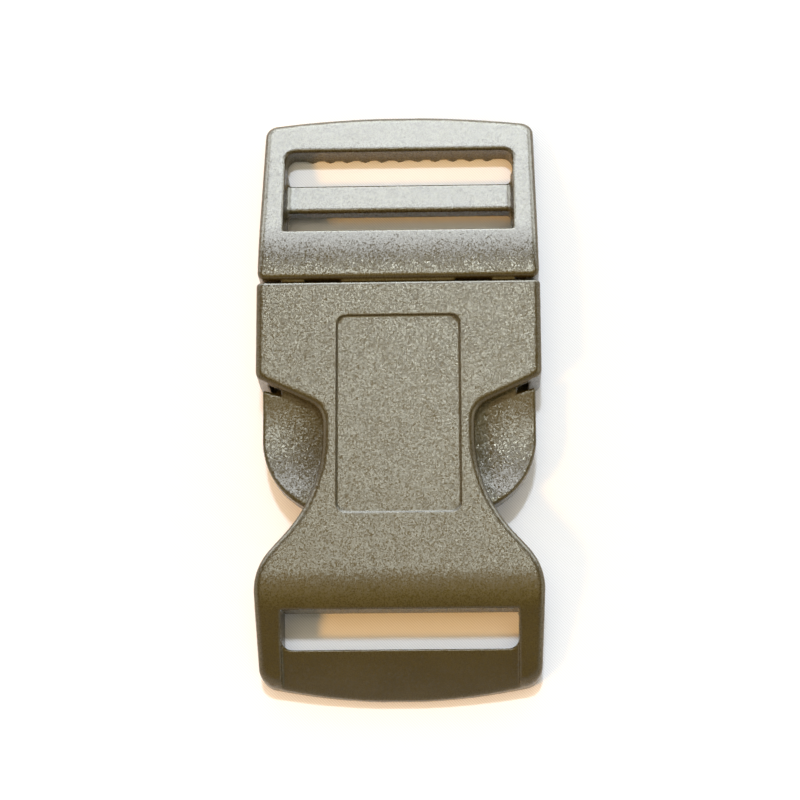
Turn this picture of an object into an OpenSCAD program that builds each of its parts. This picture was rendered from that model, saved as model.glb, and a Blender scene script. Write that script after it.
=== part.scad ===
// Side release buckle for webbing, fastened and lying on its belly.
// Two mouldings: the socket, and the latch whose two spring arms snap into it.
// +Z is up, +Y runs towards the latch's strap end, and z = 0 is the surface it lies on.

/* [Webbing] */
// Width of the webbing that every strap slot takes
web_w = 25; // [20:1:32]
// Play of the webbing in a strap slot, both ends together
web_play = 1.9; // [1:0.1:3]

/* [Outer form] */
// Width of the rail at each end of a strap slot
rail_w = 2.95; // [2.5:0.05:4]
// Height of the flat middle above the surface
mid_h = 9.2; // [8.8:0.1:11]
// Height of the middle's underside above the surface
belly_lift = 1.2; // [0.6:0.1:1.6]
// Radius of the rounded outer edges
edge_r = 0.8; // [0.4:0.1:0.9]
// Gap between the socket's mouth and the latch's frame
mouth_gap = 0.4; // [0.3:0.1:0.8]

/* [Socket] */
// Length of the socket, from its mouth to its strap end
socket_l = 47.7; // [46:0.1:52]
// Thickness of the top and bottom plates
plate_t = 1.4; // [1.1:0.1:1.8]
// Thickness of the side walls beside the arms
wall_t = 1.5; // [1.2:0.1:1.9]
// Distance from the mouth to the shoulder's corner
shoulder_l = 11.2; // [10:0.1:12]
// Slope of the shoulder's lower edge, in degrees
shoulder_a = 26; // [15:1:32]
// Radius of the shoulder's corner
shoulder_r = 1.1; // [1:0.1:2]
// Width of the waist at its narrowest
waist_w = 17.4; // [16.4:0.1:19]
// Distance from the mouth to the waist's narrowest place
waist_at = 18.3; // [18:0.1:20]
// Radius of the hollow between shoulder and waist
throat_r = 2.6; // [1:0.1:3]
// Radius of the hollow below the waist
flare_r = 16.7; // [14:0.1:18]
// Steepest slope of the flare, in degrees
flare_a = 42; // [36:1:46]
// Radius of the hip, where the flare meets the rail
hip_r = 7; // [4:0.5:8]
// Distance from the mouth to the start of the roll
socket_flat = 33.6; // [31:0.1:34.5]
// Radius of the socket's roll, from the flat middle down to its strap end
socket_roll_r = 11; // [8:0.5:16]
// Slope of the socket's strap end, in degrees
socket_slope = 26; // [18:1:27]
// Width of the end bar that holds the webbing
bar_w = 5.45; // [4:0.05:6]
// Depth of the end bar below the rails
bar_drop = 0.6; // [0.3:0.1:1]
// Width of the socket's strap slot
socket_slot_w = 4.2; // [4:0.1:5.5]
// Corner radius of the socket's strap slot, on the bar's side
socket_slot_r = 1.3; // [0.5:0.1:1.8]
// Thickness of the plate at the edge of the strap slot
lip_t = 3.3; // [1.5:0.1:3.4]
// Run of the scoop under that plate, which lets the webbing in
scoop_run = 6.6; // [5:0.1:8]
// How far the rail narrows from the hip to the strap end
rail_taper = 0.35; // [0:0.05:0.6]
// Radius of the strap end's corners
socket_corner_r = 2.2; // [1.5:0.1:3]
// Radius of the bowed strap end
socket_bow_r = 70; // [50:5:120]

/* [Panel] */
// Width of the bare recessed panel
panel_w = 14.15; // [10:0.05:14.5]
// Length of the panel
panel_l = 23.1; // [18:0.1:25]
// Distance from the mouth to the panel
panel_at = 4.05; // [3:0.05:6]
// Depth of the panel
panel_d = 0.3; // [0.2:0.1:0.6]
// Corner radius of the panel
panel_r = 1.15; // [0.5:0.05:2]

/* [Guide channel] */
// Width of the channel between the two guide ribs
channel_w = 9.4; // [8:0.1:10]
// Thickness of a guide rib
rib_t = 1.2; // [0.8:0.1:1.4]
// Distance from the mouth to the start of the ribs
rib_at = 9; // [8:0.1:11]
// Distance from the mouth to the end of the pockets that the arms lie in
pocket_l = 26.9; // [26.5:0.1:27.2]

/* [Latch frame] */
// Length of the ladder frame, from the mouth's gap to its strap end
frame_l = 22.25; // [21.5:0.05:23.4]
// How far each side of the frame stands in from the socket's side at the mouth
frame_step = 0.1; // [0:0.05:0.4]
// How far each side of the frame narrows towards its strap end
frame_taper = 0.3; // [0:0.05:0.8]
// Flat length of the frame before it rolls down
frame_flat = 0.6; // [0.4:0.1:2]
// Radius of the frame's roll, from the flat middle down to its slope
frame_roll_r = 18; // [14:1:22]
// Slope of the frame, in degrees
frame_slope = 21; // [12:0.5:22]
// Radius of the frame's corners at the mouth
near_corner_r = 0.9; // [0.9:0.1:2]
// Radius of the frame's corners at its strap end
frame_corner_r = 1.6; // [1.2:0.1:3]
// Radius of the frame's bowed strap end
frame_bow_r = 107; // [80:5:140]
// Width of the frame's rim beside the mouth
near_rim = 6.05; // [5.5:0.05:7]
// Width of the strap slot next to that rim
near_slot_w = 3.35; // [3:0.05:4]
// Width of the crossbar between the two strap slots
crossbar_w = 3.75; // [3:0.05:4.5]
// Thickness of the crossbar
crossbar_t = 2.9; // [2:0.1:3.3]
// Depth of the crossbar below the frame's face
crossbar_drop = 2.15; // [1.4:0.05:2.4]
// Edge radius of the crossbar
crossbar_r = 0.6; // [0.2:0.1:0.9]
// Width of the outer strap slot, where the webbing is gripped
far_slot_w = 4.15; // [3.8:0.05:5]
// Corner radius of the outer strap slot
far_slot_r = 1.2; // [0.3:0.1:1.5]
// Spacing of the grip ribs on the outer strap slot's wall
grip_pitch = 2.1; // [1.5:0.1:3]
// Radius of a grip rib
grip_r = 0.9; // [0.5:0.1:1]
// How far a grip rib stands out of the wall
grip_out = 0.24; // [0.1:0.02:0.3]
// Height of the grip ribs
grip_h = 1.6; // [0.8:0.1:2.4]

/* [Guide tongue] */
// Width of the tongue where it leaves the frame
tongue_root_w = 13.3; // [12:0.1:14]
// Length of the wide part of the tongue
tongue_root_l = 3.6; // [2:0.1:5]
// Length of the tongue
tongue_l = 16; // [13:0.1:20]
// Clearance between the socket's mouth and the stops at the roots of the tongue and the arms
stop_gap = 0.1; // [0.05:0.05:0.2]
// Depth of the stops below the flat middle
stop_drop = 0.6; // [0.5:0.1:1]
// Thickness of the tongue
tongue_t = 2.6; // [1.6:0.1:3.6]
// Clearance between the tongue and each guide rib
tongue_clear = 0.3; // [0.2:0.05:0.6]
// Corner radius of the tongue's tip
tongue_tip_r = 1.2; // [0.5:0.1:2]

/* [Spring arms] */
// Thickness of an arm across the buckle, where it leaves the frame
arm_t = 2.65; // [2:0.05:3.4]
// Play between the arm and the side wall where it leaves the frame
arm_play = 1.4; // [0.7:0.05:1.6]
// Clearance of the arms above and below
arm_clear = 0.2; // [0.15:0.05:0.4]
// How far the button's side stands in from the socket's side
button_in = 0.7; // [0.6:0.05:1.1]
// Gap between the catch and the side wall's end, beside the arm
catch_gap = 0.2; // [0.2:0.05:0.6]
// Slope of the catch's face, in degrees
catch_a = 15; // [8:1:22]
// Radius of the button's outer curve
button_r = 9.25; // [8.6:0.05:9.8]
// Distance from the mouth to the start of that curve
button_at = 18; // [17.7:0.1:18.3]
// How far the button reaches in under the waist's edge
button_tuck = 0.9; // [0.3:0.1:1.2]
// Gap between the button's tip and the end of its pocket
tip_gap = 0.5; // [0.4:0.05:1]
// Radius of the thumb dish in a button
dish_r = 24; // [18:1:30]
// Depth of the thumb dish
dish_d = 1.3; // [0.6:0.1:1.8]
// Distance from the button's side to the deepest place of the dish
dish_in = 2.2; // [1.5:0.1:4]
// Distance from the mouth to the deepest place of the dish
dish_at = 17.3; // [16.5:0.1:19]
// How far the button's flank leans in below its parting line
flank_in = 1.2; // [0.4:0.1:1.5]

/* [Hidden] */
$fn = 64;
// How far a cut runs past the face that it opens
past = 1;
// How deep a root reaches into the frame that carries it
root = 1.5;
// Corner radius of a corner that is left sharp
sharp = 0.01;
// How far an arm's beam and its button overlap past the shoulder's corner
neck_l = 1.2;
slot_l = web_w + web_play;
half_w = slot_l / 2 + rail_w;
length = socket_l + mouth_gap + frame_l;
y_mouth = socket_l - length / 2;
y_frame = y_mouth + mouth_gap;
y_strap_end = -length / 2;
arc_steps = 5;
edge_steps = 4;
olive = [0.46, 0.43, 0.34];
// Inside of the socket, between its plates
bay_low = belly_lift + plate_t;
bay_high = mid_h - plate_t;
// The socket's side, seen from above
waist_x = waist_w / 2;
y_shoulder = y_mouth - shoulder_l;
y_waist = y_mouth - waist_at;
throat_x = waist_x + throat_r * (1 - sin(shoulder_a));
y_throat = shoulder_y(throat_x) - throat_r * cos(shoulder_a);
y_corner = shoulder_y(half_w - shoulder_r * (1 - sin(shoulder_a))) + shoulder_r * cos(shoulder_a);
flare_x = waist_x + flare_r * (1 - cos(flare_a));
hip_x = half_w - hip_r * (1 - cos(flare_a));
y_flare = y_waist - flare_r * sin(flare_a);
y_hip = y_flare - (hip_x - flare_x) / tan(flare_a) - hip_r * sin(flare_a);
// Places along the socket
y_roll = y_mouth - socket_flat;
y_bar = y_strap_end + bar_w;
y_slot = y_bar + socket_slot_w;
y_pocket = y_mouth - pocket_l;
// Places along the frame
y_near_slot = y_frame + near_rim;
y_crossbar = y_near_slot + near_slot_w;
y_far_slot = y_crossbar + crossbar_w;
y_far_rim = y_far_slot + far_slot_w;
frame_half = half_w - frame_step;
// Places on an arm
arm_out = half_w - wall_t - arm_play;
arm_in = arm_out - arm_t;
button_out = half_w - button_in;
button_in_x = waist_x - button_tuck;
y_button = y_mouth - button_at;
y_tip = y_pocket + tip_gap;
y_neck = y_shoulder + neck_l;
button_cx = button_out - button_r;
tongue_tip_w = channel_w - 2 * tongue_clear;

// Height of the shoulder's lower edge, as a y value, at a distance x from the centre line
function shoulder_y(x) = y_shoulder - (half_w - x) * tan(shoulder_a);

// Points on an arc about c, from angle a0 to a1
function arc_points(c, r, a0, a1, n) =
    [for (i = [0:n]) let (a = a0 + (a1 - a0) * i / n) c + r * [cos(a), sin(a)]];

// Points between p and q, without those two
function points_between(p, q, n) = [for (i = [1:n - 1]) p + (q - p) * i / n];

// How far a roll has dropped at a distance d past its start: an arc, then a straight slope
function roll_drop(d, r, a) =
    d <= 0 ? 0 :
    d < r * sin(a) ? r - sqrt(r * r - d * d) :
    r * (1 - cos(a)) + (d - r * sin(a)) * tan(a);

// Heights of the two faces of the socket and of the frame, at a place y
function socket_top(y) = mid_h - roll_drop(y_roll - y, socket_roll_r, socket_slope);
function socket_low(y) = max(0, belly_lift - roll_drop(y_roll - y, socket_roll_r, socket_slope));
function frame_top(v) = mid_h - roll_drop(-v - frame_flat, frame_roll_r, frame_slope);
function frame_low(v) = max(0, belly_lift - roll_drop(-v - frame_flat, frame_roll_r, frame_slope));

// Right half of a strap end at y_end: a corner arc, then the bow up to near the centre line
function strap_end(half, y_end, corner, bow) =
    let (cx = half - corner, a = asin(cx / (bow - corner)))
    concat(
        arc_points([cx, y_end + bow - (bow - corner) * cos(a)], corner, 0, a - 90, arc_steps),
        [for (i = [1:arc_steps]) let (b = a * (1 - i / (arc_steps + 1)))
            [bow * sin(b), y_end + bow * (1 - cos(b))]]
    );

// Outward mitre at a point with the neighbours p and q, on an outline that runs clockwise
function side_normal(p, q) = let (d = (q - p) / norm(q - p)) [-d.y, d.x];
function mitre(p, c, q) =
    let (m = side_normal(p, c), n = side_normal(c, q)) (m + n) / (1 + m * n);

// A slab with rounded edges. side is the right half of its outline, with y falling all the way.
// Its faces follow the functions top and low, and both edges roll over with the radius r.
module slab(side, top, low, r) {
    n = len(side);
    ring = concat(side, [for (i = [n - 1:-1:0]) [-side[i].x, side[i].y]]);
    count = 2 * n;
    mitres = [for (i = [0:count - 1])
        mitre(ring[(i + count - 1) % count], ring[i], ring[(i + 1) % count])];
    angles = [for (i = [0:edge_steps]) 90 * i / edge_steps];
    points = concat(
        [for (a = angles) for (i = [0:count - 1]) let (p = ring[i] - r * (1 - sin(a)) * mitres[i])
            [p.x, p.y, top(p.y) - r * (1 - cos(a))]],
        [for (a = angles) for (i = [0:count - 1]) let (p = ring[i] - r * (1 - cos(a)) * mitres[i])
            [p.x, p.y, low(p.y) + r * (1 - sin(a))]]
    );
    rings = 2 * (edge_steps + 1);
    last = (rings - 1) * count;
    skin = [for (j = [0:rings - 2]) for (i = [0:count - 1])
        let (a = j * count + i, b = j * count + (i + 1) % count)
        for (t = [[a, a + count, b + count], [a, b + count, b]]) t];
    caps = [for (i = [0:n - 2]) let (l = count - 1 - i)
        for (f = [[i, i + 1, l - 1, l], [last + l, last + l - 1, last + i + 1, last + i]]) f];
    polyhedron(points, concat(skin, caps));
}

// A rectangle with rounded corners, from [x0, y0] to [x1, y1]; r0 is for the corners at y0
module rounded(x0, y0, x1, y1, r0, r1) {
    for (c = [[x0, y0, 1, 1, r0], [x1, y0, -1, 1, r0], [x0, y1, 1, -1, r1], [x1, y1, -1, -1, r1]])
        translate([c[0] + c[2] * c[4], c[1] + c[3] * c[4]]) circle(c[4]);
    polygon([
        [x0 + r0, y0], [x1 - r0, y0], [x1, y0 + r0], [x1, y1 - r1],
        [x1 - r1, y1], [x0 + r1, y1], [x0, y1 - r1], [x0, y0 + r0]
    ]);
}

// An outline in the y-z plane, carried across the buckle over a width w
module across(w) {
    translate([-w / 2, 0, 0]) rotate([90, 0, 90]) linear_extrude(w) children();
}

// The socket's solid form, before anything is cut into it. It runs past the mouth, where a plane ends it.
module socket_form() {
    end = strap_end(half_w - rail_taper, y_strap_end, socket_corner_r, socket_bow_r);
    side = concat(
        [[half_w, y_mouth + past + edge_r]],
        arc_points([half_w - shoulder_r, y_corner], shoulder_r, 0, shoulder_a - 90, arc_steps),
        arc_points([waist_x + throat_r, y_throat], throat_r, 90 + shoulder_a, 180, arc_steps),
        arc_points([waist_x + flare_r, y_waist], flare_r, 180, 180 + flare_a, 2 * arc_steps),
        arc_points([half_w - hip_r, y_hip], hip_r, flare_a, 0, 2 * arc_steps),
        points_between([half_w, y_hip], end[0], 2 * arc_steps),
        end
    );
    intersection() {
        slab(side, function (y) socket_top(y), function (y) socket_low(y), edge_r);
        translate([-half_w - past, y_strap_end - past, -past])
            cube([2 * (half_w + past), socket_l + past, mid_h + 2 * past]);
    }
}

// The hollow between the plates: a wide bay behind the mouth, a pocket for each arm that is open at
// the waist's side, and the guide channel between two ribs
module socket_bay() {
    bay_x = half_w - wall_t;
    channel_x = channel_w / 2;
    translate([0, 0, bay_low]) linear_extrude(bay_high - bay_low) difference() {
        union() {
            translate([-bay_x, y_pocket]) square([2 * bay_x, pocket_l + past]);
            translate([-half_w - past, y_pocket])
                square([2 * (half_w + past), shoulder_y(bay_x) - y_pocket]);
        }
        for (s = [-1, 1]) translate([s * (channel_x + rib_t / 2) - rib_t / 2, y_pocket - past])
            square([rib_t, pocket_l - rib_at + past]);
    }
}

// The strap slot between the rails, and the scoop that thins the plate towards it from below
module socket_slot() {
    translate([0, 0, -past]) linear_extrude(mid_h + 2 * past)
        rounded(-slot_l / 2, y_bar, slot_l / 2, y_slot, socket_slot_r, sharp);
    lip = socket_top(y_slot) - lip_t;
    across(slot_l) polygon([
        [y_slot - past, -past], [y_slot - past, lip], [y_slot, lip],
        [y_slot + scoop_run, belly_lift], [y_slot + scoop_run, -past]
    ]);
}

// What is cut off above the end bar, so that it lies below the rails
module bar_cut() {
    y0 = y_strap_end - past;
    across(slot_l) polygon([
        [y_bar + past, socket_top(y_bar + past) - bar_drop], [y_bar + past, mid_h + past],
        [y0, mid_h + past], [y0, socket_top(y0) - bar_drop]
    ]);
}

module socket() {
    color(olive) difference() {
        socket_form();
        socket_bay();
        socket_slot();
        bar_cut();
        translate([0, 0, mid_h - panel_d]) linear_extrude(panel_d + past) rounded(
            -panel_w / 2, y_mouth - panel_at - panel_l, panel_w / 2, y_mouth - panel_at, panel_r, panel_r
        );
    }
}

// The frame's solid form, made with its strap end towards -Y and then turned over
module frame_form() {
    end = strap_end(frame_half - frame_taper, -frame_l, frame_corner_r, frame_bow_r);
    corner = [frame_half - near_corner_r, -near_corner_r];
    start = [frame_half, -near_corner_r];
    side = concat(
        arc_points(corner, near_corner_r, 90, 0, arc_steps),
        points_between(start, end[0], 3 * arc_steps),
        end
    );
    translate([0, y_frame, 0]) mirror([0, 1, 0])
        slab(side, function (y) frame_top(y), function (y) frame_low(y), edge_r);
}

// The crossbar's outline in the y-z plane: upright sides, top and underside parallel to the frame's
// face, and rounded edges
module crossbar_outline() {
    a = frame_slope;
    r = crossbar_r;
    y0 = y_crossbar + r;
    y1 = y_far_slot - r;
    top0 = frame_top(y_frame - y0) - crossbar_drop - r / cos(a);
    top1 = frame_top(y_frame - y1) - crossbar_drop - r / cos(a);
    inner_t = crossbar_t - 2 * r / cos(a);
    polygon(concat(
        arc_points([y0, top0], r, 180, 90 - a, arc_steps),
        arc_points([y1, top1], r, 90 - a, 0, arc_steps),
        arc_points([y1, top1 - inner_t], r, 0, -90 - a, arc_steps),
        arc_points([y0, top0 - inner_t], r, -90 - a, -180, arc_steps)
    ));
}

// The window that both strap slots share, with the crossbar left standing in it
module window_cut() {
    difference() {
        union() {
            translate([-slot_l / 2, y_near_slot, -past])
                cube([slot_l, y_far_slot - y_near_slot, mid_h + 2 * past]);
            translate([0, 0, -past]) linear_extrude(mid_h + 2 * past)
                rounded(-slot_l / 2, y_far_slot - past, slot_l / 2, y_far_rim, sharp, far_slot_r);
        }
        across(slot_l + 2 * past) crossbar_outline();
        grips = 2 * floor((slot_l / 2 - far_slot_r - grip_r) / grip_pitch);
        for (i = [0:grips])
            translate([(i - grips / 2) * grip_pitch, y_far_rim + grip_r - grip_out, -past])
                cylinder(h = grip_h + past, r = grip_r);
    }
}

// The flat tongue that keeps the two halves in line
module tongue() {
    y_wide = y_frame - tongue_root_l;
    y_narrow = y_wide - (tongue_root_w - tongue_tip_w) / 2;
    y_end = y_frame - tongue_l;
    z0 = (bay_low + bay_high - tongue_t) / 2;
    translate([0, 0, z0]) linear_extrude(tongue_t) {
        rounded(-tongue_tip_w / 2, y_end, tongue_tip_w / 2, y_frame, tongue_tip_r, sharp);
        polygon([
            [-tongue_root_w / 2, y_frame + root], [-tongue_root_w / 2, y_wide],
            [-tongue_tip_w / 2, y_narrow], [tongue_tip_w / 2, y_narrow],
            [tongue_root_w / 2, y_wide], [tongue_root_w / 2, y_frame + root]
        ]);
    }
}

// Outline of a release button, on the right: the catch behind the side wall, the outer curve, the tip,
// and the inner side that reaches in under the waist's edge
module button_outline() {
    y_catch = shoulder_y(arm_out) - catch_gap / cos(shoulder_a);
    tip_out = button_cx + sqrt(pow(button_r, 2) - pow(y_button - y_tip, 2));
    edge_x = waist_x + flare_r - sqrt(pow(flare_r, 2) - pow(y_waist - y_tip, 2));
    tip_in = min(tip_out, edge_x) - button_tuck;
    polygon(concat(
        [[arm_in, y_neck], [arm_out, y_neck], [arm_out, y_catch]],
        [[button_out, y_catch + (button_out - arm_out) * tan(catch_a)]],
        arc_points([button_cx, y_button], button_r, 0, -asin((y_button - y_tip) / button_r), 4 * arc_steps),
        [[tip_in, y_tip], [button_in_x, y_waist], [button_in_x, y_throat]]
    ));
}

// One spring arm, on the right: a beam from the frame, then the button, whose flank leans in below
// the parting line at half height, and whose face is dished for a thumb
module arm() {
    low = bay_low + arm_clear;
    high = bay_high - arm_clear;
    parting = (low + high) / 2;
    center = [button_cx, y_button];
    difference() {
        union() {
            translate([arm_in, y_neck, low]) cube([arm_t, y_frame + root - y_neck, high - low]);
            translate([0, 0, parting]) linear_extrude(high - parting) button_outline();
            translate([center.x, center.y, parting]) mirror([0, 0, 1])
                linear_extrude(parting - low, scale = 1 - flank_in / button_r)
                translate(-center) button_outline();
        }
        translate([button_out - dish_in, y_mouth - dish_at, high - dish_d + dish_r]) sphere(dish_r);
    }
}

// Stops at the roots of the tongue and the arms, which almost fill the gap at the socket's mouth
module stops() {
    low = bay_low + arm_clear;
    y0 = y_mouth + stop_gap;
    for (x = [[-arm_out, -arm_in], [-tongue_root_w / 2, tongue_root_w / 2], [arm_in, arm_out]])
        translate([x[0], y0, low]) cube([x[1] - x[0], y_frame + root - y0, mid_h - stop_drop - low]);
}

module latch() {
    color(olive) {
        difference() {
            frame_form();
            window_cut();
        }
        stops();
        tongue();
        arm();
        mirror([1, 0, 0]) arm();
    }
}

socket();
latch();
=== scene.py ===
# %% [markdown]
# # A side release buckle, fastened and lying on a pale floor
#
# The buckle is two mouldings in one olive plastic: a socket, and a latch whose two spring arms snap
# into it. The CAD parts have the right places and main forms, but their edges are plain. A moulding
# has a radius on every edge and in every corner, and those radii are what the light picks out, so
# here each moulding is made again with its radii and takes the CAD part's place.
#
# First the frame is loaded, which brings the CAD parts in.

import bpy
import numpy as np
from mathutils import Matrix


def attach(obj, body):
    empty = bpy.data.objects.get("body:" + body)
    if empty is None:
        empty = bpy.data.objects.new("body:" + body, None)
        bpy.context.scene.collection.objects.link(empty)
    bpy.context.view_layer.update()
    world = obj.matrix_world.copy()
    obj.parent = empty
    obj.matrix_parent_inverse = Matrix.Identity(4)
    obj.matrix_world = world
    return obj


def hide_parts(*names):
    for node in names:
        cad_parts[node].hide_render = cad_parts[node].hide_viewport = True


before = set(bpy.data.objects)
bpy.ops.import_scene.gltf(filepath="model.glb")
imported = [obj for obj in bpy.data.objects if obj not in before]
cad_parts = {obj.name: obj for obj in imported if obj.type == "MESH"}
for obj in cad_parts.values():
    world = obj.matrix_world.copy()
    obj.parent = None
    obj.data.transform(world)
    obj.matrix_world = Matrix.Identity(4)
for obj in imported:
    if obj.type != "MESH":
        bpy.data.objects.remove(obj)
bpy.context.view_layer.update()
mm = 0.001
print("nodes:", sorted(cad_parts))

# %% [markdown]
# ## The camera
#
# The photograph is taken from above with a long lens, tilted 14 degrees towards the socket's strap
# end. So the walls that face the camera show as narrow bands, and the others don't show at all. The
# camera's three axes are worked out from its tilt, side step and roll, and put into one matrix.

# %% Camera
tilt, side_step, roll = np.radians([14.0, 1.8, 0.2])
picture_px, distance, focal, aim_px = 800, 290.0, 2544.0, 398.3
aim = np.array([0.0, -1.675, 9.2])
back = np.array([np.sin(side_step), -np.sin(tilt) * np.cos(side_step),
                 np.cos(tilt) * np.cos(side_step)])
level = np.cross([0.0, 1.0, 0.0], back)
level /= np.linalg.norm(level)
upward = np.cross(back, level)
right = np.cos(roll) * level - np.sin(roll) * upward
above = np.sin(roll) * level + np.cos(roll) * upward
place = (aim + back * distance) * mm
camera = bpy.data.objects.new("camera", bpy.data.cameras.new("camera"))
camera.matrix_world = Matrix(
    [[right[i], above[i], back[i], place[i]] for i in range(3)] + [[0, 0, 0, 1]])
camera.data.lens = camera.data.sensor_width * focal / picture_px
camera.data.shift_x = (picture_px / 2 - aim_px) / picture_px
camera.data.clip_start = 0.01
bpy.context.scene.collection.objects.link(camera)
bpy.context.scene.camera = camera
print("camera at", place.round(4), "lens", round(camera.data.lens, 1))

# %% [markdown]
# ## Floor and light
#
# The floor is a white cloth, so bright that its fine weave shows only in the shade. A small cool lamp
# stands almost overhead: it draws the crisp shadow edges in the strap slots and makes the grain glint.
# A broad lamp on the ceiling fills in round it. A warm lamp on the left lights what those two leave
# dark, which turns the shadows tan, and it is kept out of reflections.
#
# The windows and walls are the other way round: they show only as reflections. The far ones give the
# sloping frame its silver sheen, those at the sides light the rounded edges, and a dim glow warms the
# slope at the socket's end. The sky is dim overhead and bright towards the horizon.


# %% Lights
glossy_metres = 2.0


def lamp(name, towards, metres, size, colour, power):
    """An area light that stands `metres` away in the direction `towards` and faces the buckle."""
    way = np.array(towards, float) / np.linalg.norm(towards)
    data = bpy.data.lights.new(name, "AREA")
    data.shape, data.size, data.color, data.energy = "DISK", size, colour, power
    light = bpy.data.objects.new(name, data)
    side = np.cross([0.0, 1.0, 0.0], way)
    side /= np.linalg.norm(side)
    top = np.cross(way, side)
    light.matrix_world = Matrix(
        [[side[i], top[i], way[i], way[i] * metres] for i in range(3)] + [[0, 0, 0, 1]])
    light.visible_camera = False
    bpy.context.scene.collection.objects.link(light)
    return light


lamp("key_lamp", (0.0, 0.247, 0.97), 2.0, 0.14, (0.76, 0.86, 1.0), 18.4)
lamp("ceiling", (0.0, 0.02, 1.0), 2.0, 1.5, (1.0, 0.86, 0.66), 13)
lamp("warm_lamp", (-0.51, -0.347, 0.787), 1.6, 0.24, (1.0, 0.51, 0.13), 13.5).visible_glossy = False
for name, towards, size, colour, power in (
        ("low_glow", (0.0, -0.4, 0.917), 0.8, (1.0, 0.84, 0.2), 2),
        ("window", (0.0, 0.785, 0.62), 1.3, (0.65, 0.74, 1.0), 86),
        ("window_left", (-0.64, 0.74, 0.18), 1.3, (0.8, 0.88, 1.0), 50),
        ("window_right", (0.64, 0.74, 0.18), 1.3, (0.8, 0.88, 1.0), 55),
        ("far_wall", (0.0, 0.99, 0.14), 1.4, (0.8, 0.9, 1.0), 90),
        ("left_wall", (-0.97, -0.1, 0.2), 1.4, (1.0, 0.95, 0.75), 9),
        ("right_wall", (0.97, -0.1, 0.2), 1.4, (1.0, 0.95, 0.8), 13)):
    lamp(name, towards, glossy_metres, size, colour, power).visible_diffuse = False

world = bpy.data.worlds.new("studio")
world.use_nodes = True
nodes, links = world.node_tree.nodes, world.node_tree.links
sky = nodes["Background"].inputs["Color"]
where, axis, share, tint = (
    nodes.new("ShaderNode" + kind) for kind in ("TexCoord", "SeparateXYZ", "MapRange", "Mix"))
share.inputs["From Min"].default_value, share.inputs["From Max"].default_value = 0.7, 0.35
tint.data_type = "RGBA"
tint.inputs["A"].default_value = (0.28, 0.24, 0.11, 1)
tint.inputs["B"].default_value = (1.1, 1.2, 1.45, 1)
links.new(where.outputs["Generated"], axis.inputs["Vector"])
links.new(axis.outputs["Z"], share.inputs["Value"])
links.new(share.outputs["Result"], tint.inputs["Factor"])
links.new(tint.outputs["Result"], sky)
bpy.context.scene.world = world
bpy.context.scene.view_settings.view_transform = "Standard"

# %% [markdown]
# ## How a moulding's shape is worked out
#
# Each piece could be a swept profile with slots cut out by Booleans, but Bevel can't follow the many
# edges where a cut meets a curved face, and the radii are the look. So a moulding is written as a
# distance: one formula that gives, for any point, how far it is from the skin, negative inside. Slabs,
# slots and arms are short formulas, and two of them are joined or cut with a radius between them. The
# skin is then drawn where the distance is zero, on a grid that is fine across edges and coarse on
# flats.


# %% Distances that meet with a radius
def both(a, b, r):
    """What lies in a and in b. Their shared edge is rounded: within r of both faces, the distance
    is that from a circle of radius r that touches them."""
    return np.minimum(np.maximum(a, b), -r) + np.hypot(np.maximum(a + r, 0), np.maximum(b + r, 0))


def either(a, b, r):
    """What lies in a or in b, with a fillet of radius r in the corner between them."""
    return -both(-a, -b, r)


def without(a, b, r=0.0):
    """What is left of a when b is cut out, with the cut's rim rounded by r."""
    return both(a, -b, r)


def box_plan(x, y, x0, x1, y0, y1, r=0.0):
    """Distance from a rectangle with corner radius r, seen from above."""
    dx = abs(x - (x0 + x1) / 2) - (x1 - x0) / 2 + r
    dy = abs(y - (y0 + y1) / 2) - (y1 - y0) / 2 + r
    return np.minimum(np.maximum(dx, dy), 0) + np.hypot(np.maximum(dx, 0), np.maximum(dy, 0)) - r


def ring_plan(x, y, ring):
    """Distance from a closed outline, seen from above: the shortest way to any of its short straight
    runs, and negative where a line towards +X crosses the outline an odd number of times."""
    shape = np.broadcast(x, y).shape
    near, inside = np.full(shape, 1e9), np.zeros(shape, bool)
    for (ax, ay), (bx, by) in zip(ring, np.roll(ring, -1, axis=0)):
        ex, ey = bx - ax, by - ay
        t = np.clip(((x - ax) * ex + (y - ay) * ey) / (ex * ex + ey * ey), 0, 1)
        near = np.minimum(near, (x - ax - t * ex) ** 2 + (y - ay - t * ey) ** 2)
        if ay != by:
            inside ^= ((ay > y) != (by > y)) & (x < ax + (y - ay) * ex / ey)
    return np.where(inside, -1, 1) * np.sqrt(near)


def arc(cx, cy, r, a0, a1, step=6.0, run=0.3):
    """Points on an arc about (cx, cy), from angle a0 to a1 in degrees, at most `step` degrees and
    `run` mm apart."""
    n = int(np.ceil(abs(a1 - a0) / min(step, np.degrees(run / r)))) + 1
    a = np.radians(np.linspace(a0, a1, n + 1))
    return np.column_stack([cx + r * np.cos(a), cy + r * np.sin(a)])


def slope_drop(d, r, degrees):
    """How far a roll has dropped at a distance d past its start, an arc and then a straight slope,
    and the cosine of its slope there."""
    a = np.radians(degrees)
    on_arc = np.clip(d, 0, r * np.sin(a))
    rise = np.sqrt(r * r - on_arc**2)
    return r - rise + np.maximum(d - r * np.sin(a), 0) * np.tan(a), rise / r


# %% [markdown]
# The skin is drawn with one vertex in each grid cell that it passes through, and one four-sided face
# round each grid edge that it crosses. A vertex starts at the mean of the crossings on its cell's
# edges, then slides along the steepest way to where the distance is zero.


# %% Drawing the skin
def grid_lines(stops):
    """Grid positions whose spacing follows (position, spacing) stops: the running sum of one over
    the spacing counts the lines, and they stand where it passes each whole number."""
    at, step = np.array(stops, float).T
    fine = np.linspace(at[0], at[-1], 20001)
    count = np.concatenate([[0], np.cumsum(np.diff(fine) / np.interp(fine[1:], at, step))])
    return np.interp(np.arange(int(count[-1]) + 1), count, fine)


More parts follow.
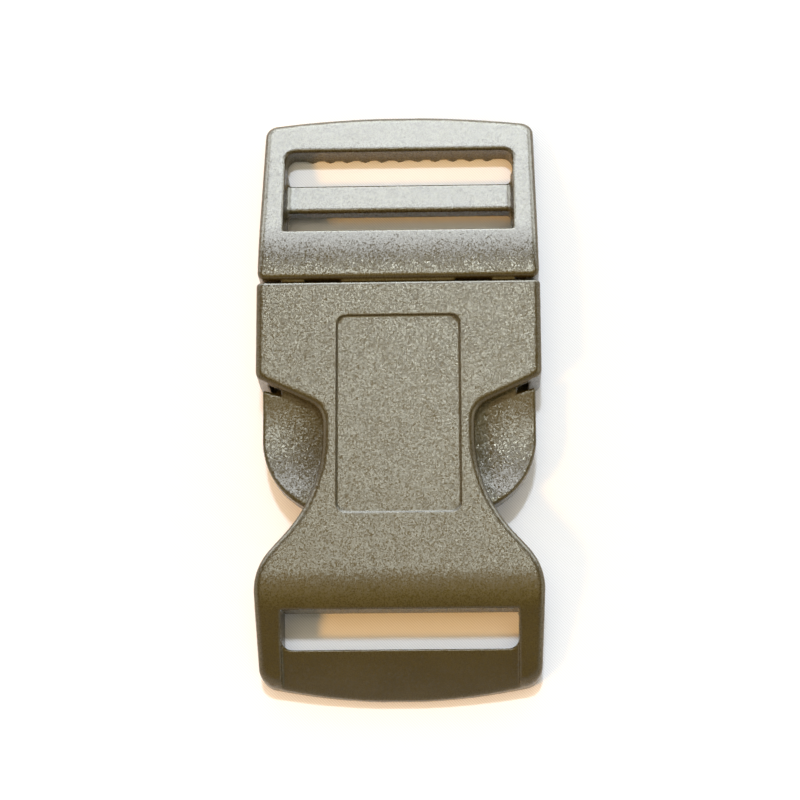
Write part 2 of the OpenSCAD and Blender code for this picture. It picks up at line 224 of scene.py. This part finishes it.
def mirrored(stops):
    """The same stops on both sides of the middle."""
    return [(-p, s) for p, s in stops[::-1] if p > 0] + stops


def skin(name, distance_from, xs, ys, zs):
    """A closed mesh where distance_from(x, y, z) is zero, in millimetres, on the grid xs, ys, zs."""
    value = distance_from(xs[:, None, None], ys[None, :, None], zs[None, None, :])
    inside = value < 0
    count = np.zeros(tuple(n - 1 for n in value.shape), np.uint8)
    corners = [(a, b, c) for a in (0, 1) for b in (0, 1) for c in (0, 1)]
    for a, b, c in corners:
        count += inside[a:a + count.shape[0], b:b + count.shape[1], c:c + count.shape[2]]
    cell = np.argwhere((count > 0) & (count < 8))
    number = np.full(count.shape, -1)
    number[tuple(cell.T)] = np.arange(len(cell))

    total, crossings = np.zeros((len(cell), 3)), np.zeros((len(cell), 1))
    axes = (xs, ys, zs)
    for p in corners:
        for way in range(3):
            if p[way] == 0:
                q = tuple(v + (i == way) for i, v in enumerate(p))
                va, vb = (value[tuple((cell + c).T)] for c in (p, q))
                cut = ((va < 0) != (vb < 0))[:, None]
                pa, pb = (np.column_stack([axes[i][cell[:, i] + c[i]] for i in range(3)])
                          for c in (p, q))
                share = (va / np.where(va == vb, 1, va - vb))[:, None]
                total += cut * (pa + share * (pb - pa))
                crossings += cut
    points = total / crossings

    rounds, reach, least_steep, longest_move = 3, 0.01, 0.2, 0.08
    for _ in range(rounds):
        here = distance_from(*points.T)
        steep = np.column_stack([
            distance_from(*(points + reach * np.eye(3)[i]).T) - here for i in range(3)]) / reach
        move = -here[:, None] * steep / np.maximum((steep**2).sum(1, keepdims=True), least_steep)
        points += np.clip(move, -longest_move, longest_move)
    points[:, 2] = np.maximum(points[:, 2], 0)

    quads = []
    for way in range(3):
        low = np.moveaxis(inside, way, 0)[:-1]
        high = np.moveaxis(inside, way, 0)[1:]
        crossed = np.argwhere(low != high)
        leaves = (low & ~high)[tuple(crossed.T)]
        edge = np.insert(crossed[:, 1:], way, crossed[:, 0], axis=1)
        u, v = (way + 1) % 3, (way + 2) % 3
        around = []
        for du, dv in ((-1, -1), (0, -1), (0, 0), (-1, 0)):
            place = edge.copy()
            place[:, u] += du
            place[:, v] += dv
            around.append(number[tuple(place.T)])
        face = np.column_stack(around)
        face[~leaves] = face[~leaves][:, ::-1]
        quads.append(face)
    quads = np.concatenate(quads)

    mesh = bpy.data.meshes.new(name)
    mesh.vertices.add(len(points))
    mesh.vertices.foreach_set("co", (points * mm).astype(np.float32).ravel())
    mesh.loops.add(quads.size)
    mesh.loops.foreach_set("vertex_index", quads.astype(np.int32).ravel())
    mesh.polygons.add(len(quads))
    mesh.polygons.foreach_set("loop_start", np.arange(0, quads.size, 4, dtype=np.int32))
    mesh.polygons.foreach_set("use_smooth", np.ones(len(quads), bool))
    mesh.update(calc_edges=True)
    mesh.validate()
    piece = bpy.data.objects.new(name, mesh)
    bpy.context.scene.collection.objects.link(piece)
    print(name, "has", 2 * len(quads), "triangles; grid", value.shape)
    return piece


# %% [markdown]
# ## Sizes that both mouldings share
#
# All in millimetres, as in the CAD model: Z up from the floor, Y towards the latch's strap end.

# %% Shared sizes
slot_l, half_w, mid_h, belly_lift, edge_r = 26.9, 16.4, 9.2, 1.2, 0.8
socket_l, mouth_gap, frame_l = 47.7, 0.4, 22.25
y_strap_end = -(socket_l + mouth_gap + frame_l) / 2
y_mouth = y_strap_end + socket_l
y_frame = y_mouth + mouth_gap
half_slot = slot_l / 2
bay_low, bay_high = 2.6, 7.8
bay_mid, bay_half = (bay_low + bay_high) / 2, (bay_high - bay_low) / 2
shoulder_a, waist_x, flare_r, y_waist = 26.0, 8.7, 16.7, y_mouth - 18.3
y_shoulder, y_pocket = y_mouth - 11.2, y_mouth - 26.9
button_out, wall_t = 15.7, 1.5


def shoulder_y(x):
    """The Y of the shoulder's lower edge at a distance x from the middle."""
    return y_shoulder - (half_w - x) * np.tan(np.radians(shoulder_a))


def strap_end(half, y_end, corner, bow):
    """Right half of a strap end: a corner arc, then the bow almost up to the middle."""
    cx = half - corner
    a = np.degrees(np.arcsin(cx / (bow - corner)))
    b = np.radians(a * np.linspace(1, 1 / 6, 9)[1:])
    bowed = np.column_stack([bow * np.sin(b), y_end + bow * (1 - np.cos(b))])
    cy = y_end + bow - (bow - corner) * np.cos(np.radians(a))
    return np.concatenate([arc(cx, cy, corner, 0, a - 90), bowed])


def both_sides(right):
    """A whole outline from its right half."""
    return np.concatenate([right, right[::-1] * [-1, 1]])


# %% [markdown]
# ## The socket
#
# A hollow plate, wide at the mouth, drawn in to a waist where the thumb buttons show, and flared out
# again to the strap bar. Its outline is lines and arcs. The top is flat, then rolls down to the bar,
# and the outer edges carry the largest radius. Behind the mouth lies a bay, with two ribs that guide
# the tongue. The strap slot has a rounded rim, the bar sits lower than the rails, and a fillet joins
# it to them. The bare panel is a shallow pocket with a soft step.

# %% Socket sizes
shoulder_r, throat_r, flare_a, hip_r = 1.1, 2.6, 42.0, 7.0
bar_w, bar_drop, slot_w, slot_corner, lip_t, scoop_run, rail_taper = 5.45, 0.6, 4.2, 1.3, 3.3, 6.6, 0.35
y_roll, roll_r, roll_a = y_mouth - 33.6, 11.0, 26.0
y_bar, y_slot = y_strap_end + bar_w, y_strap_end + bar_w + slot_w
panel_x, panel_y0, panel_y1, panel_d, panel_r = 7.075, y_mouth - 27.15, y_mouth - 4.05, 0.3, 1.15
channel_x, rib_t, y_rib = 4.7, 1.2, y_mouth - 9.0
middle_r, end_more_r, bar_crown, past = 0.62, 0.4, 0.02, 3.0


def socket_outline():
    """The socket seen from above, from past its mouth round to its strap end."""
    sa, ca = np.sin(np.radians(shoulder_a)), np.cos(np.radians(shoulder_a))
    sf, cf = np.sin(np.radians(flare_a)), np.cos(np.radians(flare_a))
    throat_y = shoulder_y(waist_x + throat_r * (1 - sa)) - throat_r * ca
    corner_y = shoulder_y(half_w - shoulder_r * (1 - sa)) + shoulder_r * ca
    flare_x, hip_x = waist_x + flare_r * (1 - cf), half_w - hip_r * (1 - cf)
    hip_y = y_waist - flare_r * sf - (hip_x - flare_x) * cf / sf - hip_r * sf
    return both_sides(np.concatenate([
        [[half_w, y_mouth + 2]],
        arc(half_w - shoulder_r, corner_y, shoulder_r, 0, shoulder_a - 90),
        arc(waist_x + throat_r, throat_y, throat_r, 90 + shoulder_a, 180),
        arc(waist_x + flare_r, y_waist, flare_r, 180, 180 + flare_a),
        arc(half_w - hip_r, hip_y, hip_r, flare_a, 0),
        strap_end(half_w - rail_taper, y_strap_end, 2.2, 70.0),
    ]))


socket_ring = socket_outline()


def socket_distance(x, y, z):
    """The socket: a slab between its top and its underside, cut at the mouth, with the bay, the strap
    slot with its scoop, the step down to the bar, and the panel cut out."""
    ax = abs(x)
    drop, cosine = slope_drop(y_roll - y, roll_r, roll_a)
    top, low = mid_h - drop, np.maximum(belly_lift - drop, 0)
    outer = np.maximum(np.clip(ax - 15, 0, 1), np.clip((y_shoulder - 1 - y) / 2.5, 0, 1))
    rounding = middle_r + (edge_r - middle_r) * outer
    rounding = rounding + np.clip((y_strap_end + 3 - y) / 5, 0, end_more_r)
    slab = np.maximum((z - top) * cosine, (low - z) * cosine)
    body = both(ring_plan(ax, y, socket_ring), slab, rounding)
    body = both(body, y - y_mouth, 0.4)

    bay_x = half_w - wall_t
    bay = np.minimum(
        box_plan(ax, y, -bay_x, bay_x, y_pocket, y_mouth + past, 0.4),
        box_plan(ax, y, -half_w - past, half_w + past, y_pocket, shoulder_y(bay_x)))
    bay = without(bay, box_plan(ax, y, channel_x, channel_x + rib_t, y_pocket - past, y_rib, 0.3))
    body = without(body, both(bay, abs(z - bay_mid) - bay_half, 0.25), 0.15)

    bar_side = y < (y_bar + y_slot) / 2
    corner = np.where(bar_side, slot_corner, 0.2)
    slot = box_plan(ax, y, -half_slot, half_slot, y_bar, y_slot, corner)
    lip = mid_h - slope_drop(y_roll - y_slot, roll_r, roll_a)[0] - lip_t
    fall = (belly_lift - lip) / scoop_run
    under = (z - lip - (y - y_slot) * fall) / np.hypot(1, fall)
    scoop = np.maximum(np.maximum(ax - half_slot, under), y_slot - 0.5 - y)
    body = without(body, np.minimum(slot, scoop), np.where(bar_side, 0.3, 0.15))

    bar_top = top - bar_drop - bar_crown * np.maximum(y_bar - y, 0) ** 2
    step = both(ax - half_slot, (bar_top - z) * cosine, 0.25)
    body = without(body, np.maximum(step, y - y_bar - 1), 0.2)

    panel = box_plan(ax, y, -panel_x, panel_x, panel_y0, panel_y1, panel_r)
    return without(body, both(panel, mid_h - panel_d - z, 0.16), 0.08)


socket = skin(
    "socket_moulding", socket_distance,
    grid_lines(mirrored([
        (0, 0.5), (6.5, 0.45), (6.8, 0.13), (7.3, 0.13), (7.8, 0.26), (13, 0.28), (13.2, 0.14),
        (13.7, 0.14), (14, 0.26), (15.2, 0.26), (15.6, 0.16), (16.6, 0.16)])),
    y_mouth + grid_lines([
        (-48, 0.15), (-46.9, 0.16), (-46.3, 0.3), (-42.9, 0.3), (-42.6, 0.12), (-42.1, 0.12),
        (-41.7, 0.3), (-38.6, 0.3), (-38.3, 0.12), (-37.8, 0.12), (-37.3, 0.28), (-27.6, 0.28),
        (-27.3, 0.12), (-26.9, 0.12), (-26.5, 0.26), (-10.7, 0.24), (-9.9, 0.4), (-4.6, 0.4),
        (-4.3, 0.12), (-3.9, 0.12), (-3.4, 0.4), (-0.7, 0.4), (-0.4, 0.1), (0.3, 0.1)]),
    grid_lines([
        (-0.3, 0.18), (2, 0.2), (3, 0.3), (7.2, 0.3), (7.6, 0.2), (8.3, 0.2), (8.6, 0.12),
        (9.5, 0.12)]))

# %% [markdown]
# ## The latch
#
# A ladder frame with two strap slots and a crossbar, a tongue in the middle, and two arms that end in
# thumb buttons. The frame slopes down to its strap end. The window has rounded outer corners, and
# fillets join the crossbar to the sides. Grip ribs stand on the window's far wall: they are strongest
# at the floor and fade out upwards. A low stop stands at the root of the tongue and of each arm, and
# shows in the gap between the two mouldings. A button's face is dished, and its flank is upright above
# the parting line and leans in below it.

# %% Latch sizes
y_near, y_cross, y_far, y_rim = y_frame + np.cumsum([6.05, 3.35, 3.75, 4.15])
frame_half, frame_taper, frame_roll, frame_slope, near_corner = 16.3, 0.3, 18.0, 21.0, 0.9
cross_drop, cross_t, cross_r, window_r = 2.15, 2.9, 0.6, 1.2
near_r, ribs_a_side, grip_pitch, grip_r, grip_out, grip_h = 0.55, 5, 2.1, 0.9, 0.14, 1.6
arm_in, arm_out, arm_low, arm_high, y_neck = 10.85, 13.5, 2.8, 7.6, y_shoulder + 1.2
button_r, button_cx, y_button, y_tip, button_in_x = 9.25, 6.45, y_mouth - 18.0, y_pocket + 0.5, 7.8
dish_r, dish_x, y_dish, dish_z, flank_in = 26.0, 13.4, y_mouth - 17.3, 6.3, 1.2
tongue_root, tongue_tip, tongue_half_t = 6.65, 4.4, 1.3
y_root, y_stop, stop_drop = y_frame + 1.5, y_mouth + 0.1, 0.45

frame_ring = both_sides(np.concatenate([
    arc(frame_half - near_corner, -near_corner, near_corner, 90, 0),
    strap_end(frame_half - frame_taper, -frame_l, 1.6, 107.0),
])) * [1, -1] + [0, y_frame]
tongue_ring = both_sides(np.array([
    [tongue_root, 1.5], [tongue_root, -3.6], [tongue_tip, -5.85], [tongue_tip, -14.8],
    [4.05, -15.65], [3.2, -16.0]])) + [0, y_frame]


def button_outline():
    """A button seen from above, on the right: the catch behind the side wall's end, the outer curve,
    the tip, and the inner side under the waist's edge."""
    y_catch = shoulder_y(arm_out) - 0.2 / np.cos(np.radians(shoulder_a))
    end = -np.degrees(np.arcsin((y_button - y_tip) / button_r))
    tip_in = button_cx + np.sqrt(button_r**2 - (y_button - y_tip) ** 2) - 0.9
    return np.concatenate([
        [[arm_in, y_neck], [arm_out, y_neck], [arm_out, y_catch],
         [button_out, y_catch + (button_out - arm_out) * np.tan(np.radians(15))]],
        arc(button_cx, y_button, button_r, 0, end),
        [[tip_in, y_tip], [button_in_x, y_waist], [button_in_x, y_neck - 3]],
    ])


button_ring = button_outline()


def latch_distance(x, y, z):
    """The latch: the frame with its window, grip ribs and crossbar, the tongue, the three stops, and
    on each side an arm with its dished button."""
    ax = abs(x)
    along = y - y_frame
    drop, cosine = slope_drop(along - 0.6, frame_roll, frame_slope)
    top, low = mid_h - drop, np.maximum(belly_lift - drop, 0)
    rounding = near_r + (edge_r - near_r) * np.clip((along - 0.5) / 2, 0, 1)
    slab = np.maximum((z - top) * cosine, (low - z) * cosine)
    body = both(ring_plan(ax, y, frame_ring), slab, rounding)
    corner = np.where(y < (y_near + y_rim) / 2, 0.2, window_r)
    rim = np.interp(y, [y_near + 1, y_near + 2, y_rim - 2, y_rim - 1], [0.15, 0.3, 0.3, 0.5])
    body = without(body, box_plan(ax, y, -half_slot, half_slot, y_near, y_rim, corner), rim)
    rib_x = ax - grip_pitch * np.clip(np.round(ax / grip_pitch), 0, ribs_a_side)
    rib = np.hypot(rib_x, y - y_rim - grip_r + grip_out * (1 - z / grip_h)) - grip_r
    body = either(body, np.maximum(rib, abs(z - 0.75 * grip_h) - 0.75 * grip_h), 0.15)
    bar_plan = either(np.maximum(y_cross - y, y - y_far), half_slot - ax, 0.7)
    bar_slab = np.maximum((z - top + cross_drop) * cosine, (top - cross_drop - cross_t - z) * cosine)
    bar = both(bar_plan, bar_slab, np.where(y < (y_cross + y_far) / 2, cross_r, 0.3))
    bar_box = box_plan(ax, y, -1, half_slot + 0.8, y_cross - 1, y_far + 1)
    body = either(body, np.maximum(bar, bar_box), 0.8)

    tongue = both(ring_plan(ax, y, tongue_ring), abs(z - bay_mid) - tongue_half_t, 0.3)
    body = either(body, tongue, 0.25)
    stops = np.minimum(box_plan(ax, y, arm_in, arm_out, y_stop, y_root),
                       box_plan(ax, y, -1, tongue_root, y_stop, y_root))
    body = either(body, both(stops, np.maximum(arm_low - z, z - mid_h + stop_drop), 0.1), 0.1)
    beam = both(box_plan(ax, y, arm_in, arm_out, y_neck - 3, y_root, 0.3),
                np.maximum(arm_low - z, z - arm_high), 0.3)
    lean = flank_in * np.clip((bay_mid - z) / (bay_mid - arm_low), 0, 1)
    button = both(ring_plan(ax, y, button_ring) + lean, np.maximum(arm_low - z, z - arm_high), 0.4)
    arm = either(np.maximum(beam, y_neck - 3 - y), button, 0.3)
    dish = dish_r - np.sqrt((ax - dish_x) ** 2 + (y - y_dish) ** 2 + (z - dish_z - dish_r) ** 2)
    return either(body, both(arm, dish, 0.3), 0.3)


latch = skin(
    "latch_moulding", latch_distance,
    grid_lines(mirrored([
        (0, 0.42), (6.5, 0.36), (7.5, 0.2), (13, 0.2), (13.2, 0.13), (13.9, 0.13), (14.3, 0.2),
        (15.2, 0.17), (15.6, 0.14), (16.5, 0.16)])),
    y_frame + grid_lines([
        (-27.2, 0.18), (-11.3, 0.2), (-10.1, 0.3), (-5.3, 0.5), (-1.3, 0.5), (-0.3, 0.14),
        (0.9, 0.16), (1.3, 0.34), (5.4, 0.34), (5.7, 0.13), (6.4, 0.13), (6.7, 0.28), (9.0, 0.26),
        (9.2, 0.14), (10.0, 0.14), (10.4, 0.3), (12.0, 0.3), (12.4, 0.14), (13.4, 0.14),
        (13.8, 0.3), (16.2, 0.3), (16.6, 0.14), (17.7, 0.14), (18.1, 0.28), (20.7, 0.25),
        (21.1, 0.15), (22.6, 0.15)]),
    grid_lines([(-0.3, 0.18), (2, 0.2), (9.5, 0.18)]))

# %% [markdown]
# ## The plastic
#
# Both mouldings come from spark-eroded moulds, so the skin is a field of tiny pits and bumps, a little
# over a tenth of a millimetre across, and each one glints on its own. A texture picture could paint
# that, but a pattern in Object coordinates sits on the part from every side. One group makes the
# grain: a tilt of the normal for each cell, a fine height between them, and changes of colour and
# gloss. Each moulding uses it with its own values.


# %% Spark-eroded grain
def spark_grain():
    """Normal, height, colour share and gloss of the grain. Each cell of a Voronoi texture has a random
    vector v, and tilts the normal by v times its length, so that many cells lie almost flat and a few
    stand steep. A fine noise is the height between them, and a slow one shifts the colour."""
    group = bpy.data.node_groups.new("spark_grain", "ShaderNodeTree")
    put = group.interface.new_socket
    for name in ("Grain Size", "Glint"):
        put(name, in_out="INPUT", socket_type="NodeSocketFloat")
    put("Normal", in_out="OUTPUT", socket_type="NodeSocketVector")
    for name in ("Height", "Colour", "Gloss"):
        put(name, in_out="OUTPUT", socket_type="NodeSocketFloat")
    nodes, links = group.nodes, group.links
    given, result = nodes.new("NodeGroupInput"), nodes.new("NodeGroupOutput")
    where, skin_normal = nodes.new("ShaderNodeTexCoord"), nodes.new("ShaderNodeNewGeometry")

    def work(kind, operation, *values):
        node = nodes.new(kind)
        node.operation = operation
        for socket, value in zip(node.inputs, values):
            if isinstance(value, bpy.types.NodeSocket):
                links.new(value, socket)
            else:
                socket.default_value = value
        gives_number = kind == "ShaderNodeMath" or operation == "LENGTH"
        return node.outputs["Value" if gives_number else "Vector"]

    number, vector = "ShaderNodeMath", "ShaderNodeVectorMath"
    scale = work(number, "DIVIDE", 1000.0, given.outputs["Grain Size"])
    cells, fine, slow = (nodes.new("ShaderNodeTex" + kind) for kind in ("Voronoi", "Noise", "Noise"))
    for texture in (cells, fine, slow):
        links.new(where.outputs["Object"], texture.inputs["Vector"])
    links.new(scale, cells.inputs["Scale"])
    links.new(scale, fine.inputs["Scale"])
    slow.inputs["Scale"].default_value = 260.0
    v = work(vector, "SUBTRACT", cells.outputs["Color"], (0.5, 0.5, 0.5))
    steep = work(number, "MULTIPLY", work(vector, "LENGTH", v), given.outputs["Glint"])
    tilt = nodes.new(vector)
    tilt.operation = "SCALE"
    links.new(v, tilt.inputs[0])
    links.new(steep, tilt.inputs["Scale"])
    turned = work(vector, "ADD", skin_normal.outputs["Normal"], tilt.outputs[0])
    links.new(work(vector, "NORMALIZE", turned), result.inputs["Normal"])
    links.new(fine.outputs["Fac"], result.inputs["Height"])
    links.new(slow.outputs["Fac"], result.inputs["Colour"])
    links.new(cells.outputs["Color"], result.inputs["Gloss"])
    return group


grain, rough_swing = spark_grain(), 0.08


def moulded_plastic(name, grain_size, glint, depth, rough):
    """Olive plastic: the grain's normal and height go to a Bump, its slow drift to the colour, and the
    cells' own values to the roughness. Grain size and depth are in millimetres."""
    material = bpy.data.materials.new(name)
    material.use_nodes = True
    nodes, links = material.node_tree.nodes, material.node_tree.links
    shader = nodes["Principled BSDF"]
    shader.inputs["Specular Tint"].default_value = (0.86, 0.81, 0.63, 1)
    texture = nodes.new("ShaderNodeGroup")
    texture.node_tree = grain
    texture.inputs["Grain Size"].default_value = grain_size
    texture.inputs["Glint"].default_value = glint
    bump = nodes.new("ShaderNodeBump")
    bump.inputs["Distance"].default_value = depth * mm
    links.new(texture.outputs["Height"], bump.inputs["Height"])
    links.new(texture.outputs["Normal"], bump.inputs["Normal"])
    links.new(bump.outputs["Normal"], shader.inputs["Normal"])
    tint = nodes.new("ShaderNodeMix")
    tint.data_type = "RGBA"
    tint.inputs["A"].default_value = (0.034, 0.024, 0.005, 1)
    tint.inputs["B"].default_value = (0.048, 0.035, 0.009, 1)
    links.new(texture.outputs["Colour"], tint.inputs["Factor"])
    links.new(tint.outputs["Result"], shader.inputs["Base Color"])
    gloss = nodes.new("ShaderNodeMapRange")
    gloss.inputs["To Min"].default_value = rough - rough_swing
    gloss.inputs["To Max"].default_value = rough + rough_swing
    links.new(texture.outputs["Gloss"], gloss.inputs["Value"])
    links.new(gloss.outputs["Result"], shader.inputs["Roughness"])
    return material


socket.data.materials.append(moulded_plastic("socket_plastic", 0.13, 0.33, 0.008, 0.29))
latch.data.materials.append(moulded_plastic("latch_plastic", 0.14, 0.36, 0.008, 0.28))

# %% [markdown]
# ## Taking the CAD parts' places
#
# Each moulding rides the frame's one body and replaces the CAD part that it redraws.

# %% Put the pieces on the frame
for piece, node in ((socket, "socket"), (latch, "latch")):
    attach(piece, "root")
    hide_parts(node)

# %% [markdown]
# ## The floor
#
# One large square of pale cloth, just under the part. Its weave is a set of slanting stripes, a
# quarter of a millimetre apart, and so faint that it shows only in the shade.


# %% Floor
weave_mm = 0.24


def cloth_floor(half, z):
    """A flat square of side 2 * half, at height z, in metres."""
    mesh = bpy.data.meshes.new("floor")
    corner = np.array([[-1, -1], [1, -1], [1, 1], [-1, 1]]) * half
    mesh.from_pydata(np.column_stack([corner, np.full(4, z)]).tolist(), [], [(0, 1, 2, 3)])
    material = bpy.data.materials.new("pale_cloth")
    material.use_nodes = True
    nodes, links = material.node_tree.nodes, material.node_tree.links
    shader = nodes["Principled BSDF"]
    shader.inputs["Roughness"].default_value = 0.9
    where = nodes.new("ShaderNodeTexCoord")
    turned, wave = nodes.new("ShaderNodeMapping"), nodes.new("ShaderNodeTexWave")
    turned.inputs["Rotation"].default_value = (0, 0, np.radians(-45))
    wave.inputs["Scale"].default_value = np.pi / 10 / (weave_mm * mm)
    links.new(where.outputs["Object"], turned.inputs["Vector"])
    links.new(turned.outputs["Vector"], wave.inputs["Vector"])
    tint = nodes.new("ShaderNodeMix")
    tint.data_type = "RGBA"
    tint.inputs["A"].default_value = (0.82, 0.82, 0.83, 1)
    tint.inputs["B"].default_value = (0.97, 0.97, 0.97, 1)
    links.new(wave.outputs["Fac"], tint.inputs["Factor"])
    links.new(tint.outputs["Result"], shader.inputs["Base Color"])
    mesh.materials.append(material)
    floor = bpy.data.objects.new("floor", mesh)
    bpy.context.scene.collection.objects.link(floor)


cloth_floor(8.0, -0.00001)
